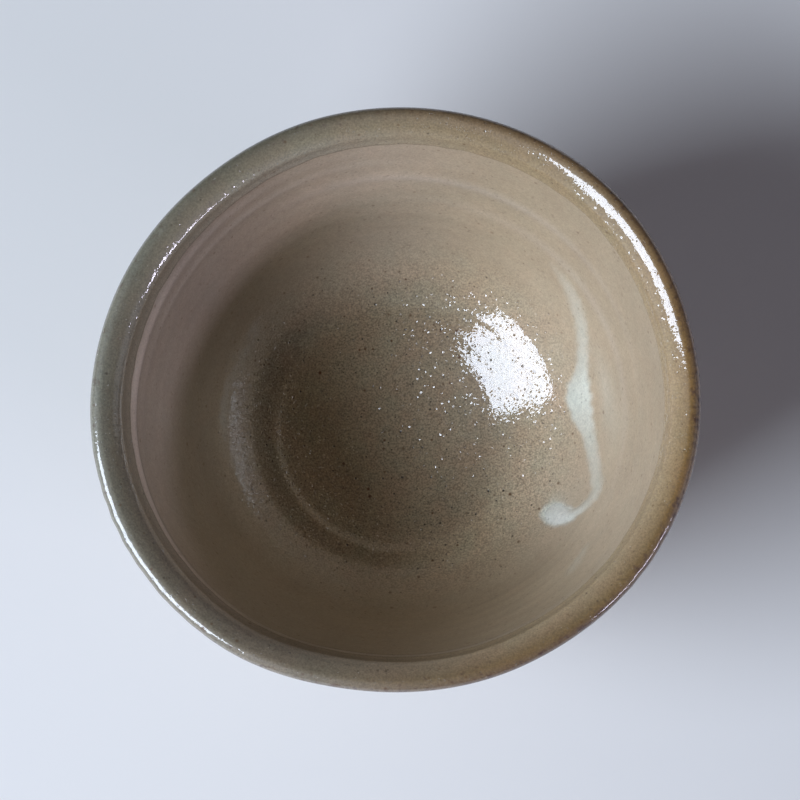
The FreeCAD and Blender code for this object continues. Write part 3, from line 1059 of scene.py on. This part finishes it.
@dataclass
class ThrownBody:
    """The clay wall and floor, which show only under the glaze line and round the foot ring."""

    form: BowlForm
    recess_ledge: float = 1.2
    recess_depth: float = 1.2
    nipple_radius: float = 8.0
    nipple_drop: float = 1.9
    recess_edge: float = 19.5  # radius where the finer rings of the turned hollow begin
    score_reach: float = 20.0  # the trimming tool's spiral lies within this radius
    score_pitch: float = 1.7
    score_depth: float = 0.05

    def underside(self, radius: Grid) -> Grid:
        """Height of the turned underside: flat seat, a shallow hollow, and a low round nipple.

        The hollow between the ledge and the nipple is a parabola through its deepest point, and the
        nipple is a cap of a sphere that hangs down.

        Args:
            radius: distances from the wheel's axis in millimetres.

        Returns:
            Heights over the table in millimetres.
        """
        form = self.form
        edge = form.foot_base_radius - form.foot_base_width - form.foot_flare - self.recess_ledge
        share = np.clip((edge - radius) / (edge - self.nipple_radius), 0, 1)
        hollow = form.foot_height + self.recess_depth * (share * 0.5 + 2 * share * (1 - share) * 1.5)
        ball = (self.nipple_radius**2 + self.nipple_drop**2) / (2 * self.nipple_drop)
        tip = form.foot_height + self.recess_depth / 2 - self.nipple_drop
        inner = np.minimum(radius, self.nipple_radius)
        return np.where(radius < self.nipple_radius, tip + ball - np.sqrt(ball**2 - inner**2), hollow)

    def make(self, material: bpy.types.Material) -> None:
        """Builds the body as one closed skin: inside, outside, seat and turned hollow.

        Args:
            material: the bare clay.
        """
        form = self.form
        theta = form.directions()
        hidden = form.skin.steps(0, form.crest, 3.0, 12)
        shown = form.skin.steps(form.crest, form.skin.length, 0.9, 12)
        along = np.concatenate([hidden, shown[1:]])[:, None]
        radius = np.concatenate([np.linspace(form.seat_edge, self.recess_edge, 22)[1:],
                                 np.linspace(self.recess_edge - 0.1, 0, 52)])[:, None]
        score = self.score_depth * np.cos(TAU * radius / self.score_pitch - theta) * ramp(radius, 1, 4)
        height = self.underside(radius) + np.minimum(score, 0.0) * (radius < self.score_reach)
        rings = np.concatenate([form.layer(theta, along, 0.0), form.place(radius + 0 * theta, height, theta)])
        down = np.concatenate([along, form.skin.length + form.seat_edge - radius])
        toasted = 0.25 + 0.6 * ramp(-down, -(form.skin.length - 4), -(form.skin.length - 18)) + 0 * theta
        piece = closed_mesh("thrown_body_look", rings, Ends.POLES, {"toasted": toasted})
        hand_over(piece, material)


@dataclass
class FootRing:
    """The turned ring that the bowl stands on."""

    form: BowlForm
    outer_round: float = 1.5
    inner_round: float = 0.9
    score_pitch: float = 1.3
    score_depth: float = 0.05
    waver: float = 0.07  # how far the ring's faces stray from a true circle

    def make(self, material: bpy.types.Material) -> None:
        """Builds the ring: a closed section carried round, with tool scores and worn bottom edges.

        Args:
            material: the bare clay.
        """
        form = self.form
        base, top = form.foot_base_radius, form.foot_height
        bore = base - form.foot_base_width
        theta = form.directions()
        fillet = np.linspace(0, np.pi / 2, 7)
        outer = np.linspace(top + SINK, self.outer_round, 18)
        inner = np.linspace(self.inner_round, top + SINK, 18)
        section = np.concatenate([
            np.stack([base + form.foot_flare * outer / top, outer], 1),
            np.stack([base - self.outer_round * (1 - np.cos(fillet)),
                      self.outer_round * (1 - np.sin(fillet))], 1)[1:],
            np.stack([bore + self.inner_round * (1 - np.sin(fillet)),
                      self.inner_round * (1 - np.cos(fillet))], 1),
            np.stack([bore - form.foot_flare * inner / top, inner], 1)[1:],
        ])
        r, z = section[:, :1], section[:, 1:]
        side = np.where(r > (base + bore) / 2, 1.0, -1.0)
        score = self.score_depth * np.cos(TAU * z / self.score_pitch - theta)
        r = r + side * (score + self.waver * hand_wave(theta, range(3, 14), 5)) * ramp(z, 0.4, 2.0)
        points = np.stack(np.broadcast_arrays(r * np.cos(theta), r * np.sin(theta), z), -1) * MM
        toasted = 0.35 + 0.2 * ramp(z, 0, top) + 0 * theta
        piece = closed_mesh("foot_ring_look", points, Ends.LOOP, {"toasted": toasted})
        hand_over(piece, material)


@dataclass
class PouredGlaze:
    """The coat that was poured inside and swilled round."""

    form: BowlForm
    firing: Firing

    def make(self, material: bpy.types.Material) -> None:
        """Builds the coat from its shown side and a coarser underside sunk a little into the clay.

        Args:
            material: the poured ash glaze.
        """
        form = self.form
        theta = form.directions()
        shown = form.skin.steps(0, form.crest, 0.7, 9)[:, None]
        under = form.skin.steps(0, form.crest, 3.0, 14)[::-1, None]
        rings = np.concatenate([form.layer(theta, shown, POURED_COAT), form.layer(theta, under, -SINK)])
        along = np.concatenate([shown, under]) + 0 * theta
        values = {"painted": self.firing.inside(form, theta[None, :], along), "thin": 0 * along,
                  **self.firing.grains(form, theta, along)}
        hand_over(closed_mesh("inner_glaze_look", rings, Ends.POLES, values), material)


@dataclass
class DippedGlaze:
    """The coat that the bowl got when it was dipped mouth down: the outside, and a lap inside the lip."""

    form: BowlForm
    firing: Firing
    coat: float = 0.8
    lap_drop: float = 6.6
    bare_clay: float = 7.4
    dip_tilt: float = 1.0
    dip_direction: float = 235.0
    lap_radius: float = 57.0  # of the mouth at the lap, which gives the tilt its height there
    line_radius: float = 41.0  # the same at the glaze line over the foot
    lap_waver: float = 0.22
    line_wavers: tuple[float, float] = (0.7, 0.25)  # slow and quick
    edge_roll: float = 0.9  # how far from its edge the lap is fully thick
    line_roll: float = 1.3  # the same at the glaze line
    edge_start: float = 0.05  # how far under what it lies on its edge begins
    bead: float = 0.16  # how far the rolled edge of the lap stands up
    line_bead: float = 0.2  # the same at the glaze line
    drip_bead: float = 0.14  # and more in a drip, for each millimetre of its run
    crest_thinning: float = 0.05
    bare_lip_and_shade: tuple[float, float] = (0.16, 0.34)  # bare iron brown all round where the glaze ran thin, and more near 345, which is also painted shade on the outer shoulder turned from the light
    edge_line: str = "#886948"  # iron drawn to the very edge of the lap
    edge_line_share: float = 0.35
    coarse: float = 0.3  # grains and sand that show through this coat
    drips: tuple[tuple[float, float, float], ...] = (
        (22, 5.0, 2.6), (95, 4.0, 1.6), (151, 3.4, 2.2), (214, 5.5, 3.0), (228, 3.0, 1.4), (305, 4.4, 2.4),
    )  # direction, spread in degrees and run in mm

    def edges(self, theta: Grid) -> tuple[Grid, Grid]:
        """Where the coat ends inside and outside.

        The bowl leaned in the glaze, so each edge is a tilted plane's height on the wall, and surface
        tension makes it wander a little.

        Args:
            theta: directions in radians.

        Returns:
            Distances along the profile of the lap's end and of the glaze line.
        """
        form = self.form
        lean = -math.tan(math.radians(self.dip_tilt)) * np.cos(theta - math.radians(self.dip_direction))
        lap = form.along_at_height(form.crest_height - self.lap_drop + self.lap_radius * lean, outside=False)
        line = form.along_at_height(form.foot_height + self.bare_clay + self.line_radius * lean, outside=True)
        lap = lap + self.lap_waver * hand_wave(theta, range(5, 60), 21)
        slow, quick = self.line_wavers
        line = line + slow * hand_wave(theta, range(2, 9), 8) + quick * hand_wave(theta, range(12, 50), 9)
        for direction, spread, run in self.drips:
            line = line + run * near(theta, direction, spread)
        return lap, line

    def make(self, material: bpy.types.Material) -> None:
        """Builds the coat as a closed loop: shown side over the lip and down, underside back.

        Args:
            material: the dipped ash glaze.
        """
        form = self.form
        theta = form.directions()
        lap, line = self.edges(theta)
        mean_lap, mean_line = float(lap.mean()), float(line.mean())
        # stations close to an edge, where it rolls
        crisp = np.array([0.0, 0.08, 0.2, 0.38, 0.62, 0.95, 1.4, 1.9, 2.5])
        middle = form.skin.steps(mean_lap + 3.0, mean_line - 3.0, 1.15, 9)
        stations = np.concatenate([mean_lap + crisp, middle, mean_line - crisp[::-1]])[:, None]
        early = 1 - ramp(stations, mean_lap + 1, form.crest - 0.5)
        late = ramp(stations, form.crest + 40, mean_line - 2)
        along = stations + early * (lap - mean_lap) + late * (line - mean_line)
        from_lap, from_line = along - lap, line - along
        base = POURED_COAT * (1 - ramp(along, form.crest - 0.8, form.crest + 0.8))
        rise = self._roll(from_lap, self.edge_roll) * self._roll(from_line, self.line_roll)
        drip = sum(near(theta, direction, spread * 0.7) * run for direction, spread, run in self.drips)
        bead = self.bead * bell(from_lap - 1.2, 0.55)
        bead = bead + (self.line_bead + self.drip_bead * drip) * bell(from_line - 1.6, 1.1)
        top = base - self.edge_start + (self.coat - base + self.edge_start + bead) * rise
        top = top - self.crest_thinning * bell(along - form.crest - 0.4, 0.8)
        picks = np.unique(np.concatenate([np.arange(0, len(stations), 3), [len(stations) - 1]]))[::-1]
        rings = np.concatenate([form.layer(theta, along, top),
                                form.layer(theta, along[picks], base[picks] - SINK)])
        along, from_lap = (np.concatenate([grid, grid[picks]]) for grid in (along, from_lap))
        painted = blended(self.firing.lap(form, theta, along, self.coat), self.edge_line,
                          self.edge_line_share * bell(from_lap - 0.25, 0.22))
        # the brown on the lip's outer shoulder: thin glaze, and painted shade, most near 345 degrees where
        # the shoulder turns from the light
        all_round, more = self.bare_lip_and_shade
        thin = bell(along - form.crest - 1.2, 0.9) * (all_round + more * near(theta, 345, 60))
        coarse = 0 * thin + self.coarse
        values = {"painted": painted, "thin": thin, "grainy": coarse, "sandy": coarse}
        hand_over(closed_mesh("outer_glaze_look", rings, Ends.LOOP, values), material)

    @staticmethod
    def _roll(distance: Grid, width: float) -> Grid:
        """A rolled edge: a quarter ellipse that rises from 0 to 1 over a width."""
        t = np.clip(distance / width, 0, 1)
        return np.sqrt(np.clip(1 - (1 - t) ** 2, 0, 1))


class SlipMark(Enum):
    """The two marks that the slip left, with stations of direction, radius, half width and cover."""

    TRAIL = ((46.0, 46.7, 0.5, 0.15), (42.0, 46.3, 0.8, 0.26), (37.0, 45.7, 1.1, 0.38),
             (29.0, 44.3, 1.3, 0.5), (20.7, 41.9, 1.4, 0.6), (15.2, 40.2, 1.7, 0.8),
             (10.2, 38.9, 2.7, 1.0), (3.6, 39.1, 2.4, 0.95),
             (-3.9, 40.6, 1.6, 0.75), (-11.6, 42.5, 1.4, 0.65), (-18.3, 44.4, 1.3, 0.65),
             (-22.3, 45.1, 1.1, 0.65), (-26.5, 44.2, 1.0, 0.65), (-29.0, 42.9, 1.1, 0.75),
             (-30.4, 41.7, 1.9, 0.95), (-31.3, 40.0, 2.8, 1.0))
    STREAK = ((-36.3, 49.1, 0.3, 0.2), (-37.5, 49.3, 0.5, 0.3), (-39.8, 49.6, 0.7, 0.35),
              (-42.2, 49.9, 0.8, 0.35), (-44.4, 50.1, 0.6, 0.3), (-45.5, 50.3, 0.3, 0.2))


@dataclass(frozen=True)
class SlipPath:
    """The middle line of one stroke of slip, its width and how well it covers, in the plan of the wheel."""

    mark: SlipMark
    feather: float = 0.95  # mm within the edge over which the white fades, and half of it past it
    uneven: float = 0.18  # mm that the white's edge strays

    def at(self, part: Grid) -> tuple[Grid, Grid, Grid, Grid]:
        """The line at some parts of its length.

        Each value is a Catmull-Rom curve through the stations: between two stations, a cubic whose
        slopes there are half the step between the stations' neighbours.  The line runs on past both
        end stations by their half width, where the stroke's round ends lie.

        Args:
            part: 0 at the first end to 1 at the last.

        Returns:
            x, y and half width in millimetres, and cover from 0 to 1.
        """
        table = np.array(self.mark.value)
        angle = np.radians(table[:, 0])
        radius = table[:, 1]
        points = np.stack([radius * np.cos(angle), radius * np.sin(angle), table[:, 2], table[:, 3]], 1)
        first, last = (self._beyond(points[i], points[j]) for i, j in ((0, 1), (-1, -2)))
        points = np.concatenate([[first], points, [last]])
        padded = np.concatenate([[2 * points[0] - points[1]], points, [2 * points[-1] - points[-2]]])
        position = np.clip(part, 0, 1) * (len(points) - 1)
        i = np.minimum(position.astype(int), len(points) - 2)
        t = (position - i)[:, None]
        before, start, end, after = (padded[i + k] for k in range(4))
        curve = 0.5 * (2 * start + (end - before) * t + (2 * before - 5 * start + 4 * end - after) * t**2
                       + (3 * (start - end) + after - before) * t**3)
        return tuple(curve.T)

    @staticmethod
    def _beyond(end: Grid, neighbour: Grid) -> Grid:
        """The point half a width past an end station, with that station's width and cover."""
        away = end[:2] - neighbour[:2]
        return np.concatenate([end[:2] + away / np.hypot(*away) * end[2], end[2:]])

    def rounded(self, part: Grid) -> tuple[Grid, Grid, Grid, Grid, Grid]:
        """The line with its width drawn in to a half circle at both ends, and a little uneven.

        Args:
            part: 0 at the first end to 1 at the last.

        Returns:
            x, y and half width in millimetres, cover from 0 to 1, and the distance run.
        """
        x, y, half, cover = self.at(part)
        run = np.concatenate([[0], np.cumsum(np.hypot(np.diff(x), np.diff(y)))])
        to_end = np.minimum(run, run[-1] - run)
        half = half * np.sqrt(np.clip(1 - (1 - np.clip(to_end / half, 0, 1)) ** 2, 0, 1))
        return x, y, half * (1 + 0.04 * np.sin(run * 1.9) + 0.03 * np.sin(run * 4.3 + 1)), cover, run

    def white(self, theta: Grid, radius: Grid) -> Grid:
        """How white the inside is at some places: full along the line, fading across its edge.

        Args:
            theta: directions in radians.
            radius: distances from the wheel's axis in millimetres.

        Returns:
            0 to 1 at each place.
        """
        x, y, half, cover, _ = self.rounded(np.linspace(0, 1, 160))
        px, py = (radius * np.cos(theta)).ravel(), (radius * np.sin(theta)).ravel()
        share = np.zeros(px.shape)
        reach = half.max() + 2 * self.feather
        close = (px > x.min() - reach) & (px < x.max() + reach)
        close &= (py > y.min() - reach) & (py < y.max() + reach)
        px, py = px[close, None], py[close, None]
        past = np.hypot(px - x, py - y) - half
        nearest = past.argmin(1)
        past = past[np.arange(len(nearest)), nearest]
        past = past + self.uneven * np.sin(px[:, 0] * 2.3 + 1) * np.sin(py[:, 0] * 1.9)
        share[close] = cover[nearest] * (1 - ramp(past, -self.feather, 0.5 * self.feather))
        return share.reshape(np.broadcast(theta, radius).shape)


@dataclass
class PouredSlip:
    """One stroke of white slip that ran down the inner wall."""

    form: BowlForm
    firing: Firing
    path: SlipPath
    name: str
    height: float = 0.34
    full_width: float = 1.6  # half width from which the stroke stands up fully
    edge_start: float = 0.02  # how far under the coat its edge begins
    grain: float = 0.15  # how much of the floor's grain shows through the slip
    steps_along: int = 190
    steps_across: int = 26

    def make(self, material: bpy.types.Material) -> None:
        """Builds the stroke: flat ovals strung along the path, shrinking to a point at both ends.

        Args:
            material: the slip under its glaze.
        """
        x, y, half, _, run = self.path.rounded((1 - np.cos(np.linspace(0, np.pi, self.steps_along))) / 2)
        along_x, along_y = np.gradient(x, run), np.gradient(y, run)
        size = np.hypot(along_x, along_y)
        turn = np.arange(2 * self.steps_across) / (2 * self.steps_across) * TAU
        across = np.cos(turn)[None, :]
        px = x[:, None] - (along_y / size * half)[:, None] * across
        py = y[:, None] + (along_x / size * half)[:, None] * across
        theta, radius = np.arctan2(py, px), np.hypot(px, py)
        along = self.form.along_at_radius(radius)
        dome = np.clip(1 - across**2, 0, 1) ** 1.5
        rise = self.height * dome * np.minimum(half / self.full_width, 1)[:, None] - self.edge_start
        rise = np.where(np.sin(turn) > 0, rise, -SINK)
        rings = self.form.layer(theta, along, POURED_COAT + rise)
        values = {"painted": self.firing.inside(self.form, theta, along), "thin": 0 * along}
        grains = self.firing.grains(self.form, theta, along)
        values |= {name: self.grain * grid for name, grid in grains.items()}
        hand_over(closed_mesh(self.name, rings, Ends.POLES, values), material)


# ---------------------------------------------------------------- studio


@dataclass(frozen=True)
class SoftBox:
    """One rectangular lamp, aimed at the middle of the bowl."""

    name: str
    azimuth: float  # degrees from +X, where the light comes from
    zenith: float  # degrees from straight up
    distance: float  # metres
    width: float  # degrees across, as seen from the bowl
    height: float  # degrees tall
    radiance: float  # brightness of its face, where 1 is white
    tint: str
    aim: tuple[float, float, float] = (0, 0, 0.03)  # metres

    def place(self) -> None:
        """Adds the lamp; its power is radiance times pi times its area."""
        azimuth, zenith = math.radians(self.azimuth), math.radians(self.zenith)
        ahead = Vector((math.cos(azimuth) * math.sin(zenith), math.sin(azimuth) * math.sin(zenith),
                        math.cos(zenith)))
        lamp = bpy.data.lights.new(self.name, "AREA")
        lamp.shape = "RECTANGLE"
        lamp.size = 2 * self.distance * math.tan(math.radians(self.width) / 2)
        lamp.size_y = 2 * self.distance * math.tan(math.radians(self.height) / 2)
        lamp.energy = self.radiance * math.pi * lamp.size * lamp.size_y
        lamp.color = linear(self.tint)[:3]
        holder = bpy.data.objects.new(self.name, lamp)
        holder.location = ahead * self.distance + Vector(self.aim)
        holder.rotation_euler = ahead.to_track_quat("Z", "Y").to_euler()
        bpy.context.scene.collection.objects.link(holder)


@dataclass(frozen=True)
class Studio:
    """Pale floor, soft lamps and the camera above the bowl."""

    camera_azimuth: float = 12.47
    camera_elevation: float = 83.05
    camera_distance: float = 0.7  # metres
    lens: float = 149.0
    sensor_width: float = 36.0
    clip: tuple[float, float] = (0.01, 50.0)  # metres
    target: tuple[float, float, float] = (0.04, 3.69, 40.0)
    floor_colour: str = "#e4e2de"
    floor_reach: float = 4.0  # metres
    lamps: tuple[SoftBox, ...] = (
        SoftBox("window", 205, 49.5, 1.3, 36, 29, 14.5, "#e2edff"),
        SoftBox("low_strip", 326, 70, 1.6, 26, 5, 21.0, "#ece6ff"),
        SoftBox("low_dim", 358, 70, 1.8, 28, 20, 0.43, "#f4f8ff"),
    )
    sky: str = "#eef2f8"
    fill: float = 0.025
    backdrop: float = 0.8  # the sky's strength as the camera sees it, where fill is its strength as light

    def set_up(self) -> None:
        """Builds the floor, the world, the lamps and the camera."""
        self._floor()
        self._world()
        for lamp in self.lamps:
            lamp.place()
        self._camera()
        bpy.context.scene.view_settings.view_transform = "Standard"

    def _floor(self) -> None:
        """A wide matt floor under the foot ring."""
        reach = self.floor_reach
        mesh = bpy.data.meshes.new("studio_floor")
        mesh.from_pydata([(-reach, -reach, 0), (reach, -reach, 0), (reach, reach, 0), (-reach, reach, 0)],
                         [], [(0, 1, 2, 3)])
        material, tree, _ = new_material("pale_floor")
        shader = add(tree, "ShaderNodeBsdfDiffuse", {"Color": linear(self.floor_colour)})
        add(tree, "ShaderNodeOutputMaterial", {"Surface": shader.outputs[0]})
        mesh.materials.append(material)
        floor = bpy.data.objects.new("studio_floor", mesh)
        bpy.context.scene.collection.objects.link(floor)

    def _world(self) -> None:
        """A dim even fill; the camera sees the backdrop as pale as the floor."""
        world = bpy.data.worlds.new("studio")
        world.use_nodes = True
        tree = world.node_tree
        tree.nodes.clear()
        seen = add(tree, "ShaderNodeLightPath").outputs["Is Camera Ray"]
        strength = add(tree, "ShaderNodeMapRange",
                       {"Value": seen, "To Min": self.fill, "To Max": self.backdrop}).outputs[0]
        light = add(tree, "ShaderNodeBackground", {"Color": linear(self.sky), "Strength": strength})
        add(tree, "ShaderNodeOutputWorld", {"Surface": light.outputs[0]})
        bpy.context.scene.world = world

    def _camera(self) -> None:
        """A long lens almost straight above, with +Y up in the picture."""
        a, e = math.radians(self.camera_azimuth), math.radians(self.camera_elevation)
        back = Vector((math.sin(a) * math.cos(e), -math.cos(a) * math.cos(e), math.sin(e)))
        right = Vector((0, 1, 0)).cross(back).normalized()
        data = bpy.data.cameras.new("camera")
        data.lens, data.sensor_width = self.lens, self.sensor_width
        data.clip_start, data.clip_end = self.clip
        camera = bpy.data.objects.new("camera", data)
        turned = Matrix((right, back.cross(right), back)).transposed().to_4x4()
        turned.translation = Vector(self.target) * MM + back * self.camera_distance
        camera.matrix_world = turned
        bpy.context.scene.collection.objects.link(camera)
        bpy.context.scene.camera = camera


def main() -> None:
    """Builds the bowl layer by layer, then the studio."""
    logging.basicConfig(level=logging.INFO, format="%(name)s: %(message)s")
    form, firing = BowlForm(), Firing()
    clay = Stoneware().build()
    ThrownBody(form).make(clay)
    FootRing(form).make(clay)
    PouredGlaze(form, firing).make(AshGlaze("poured_ash_glaze").build())
    DippedGlaze(form, firing).make(AshGlaze("dipped_ash_glaze").build())
    slip = AshGlaze("glazed_white_slip").build()
    PouredSlip(form, firing, SlipPath(SlipMark.TRAIL), "slip_trail_look").make(slip)
    PouredSlip(form, firing, SlipPath(SlipMark.STREAK), "slip_streak_look").make(slip)
    Studio().set_up()


if __name__ == "__main__":
    main()
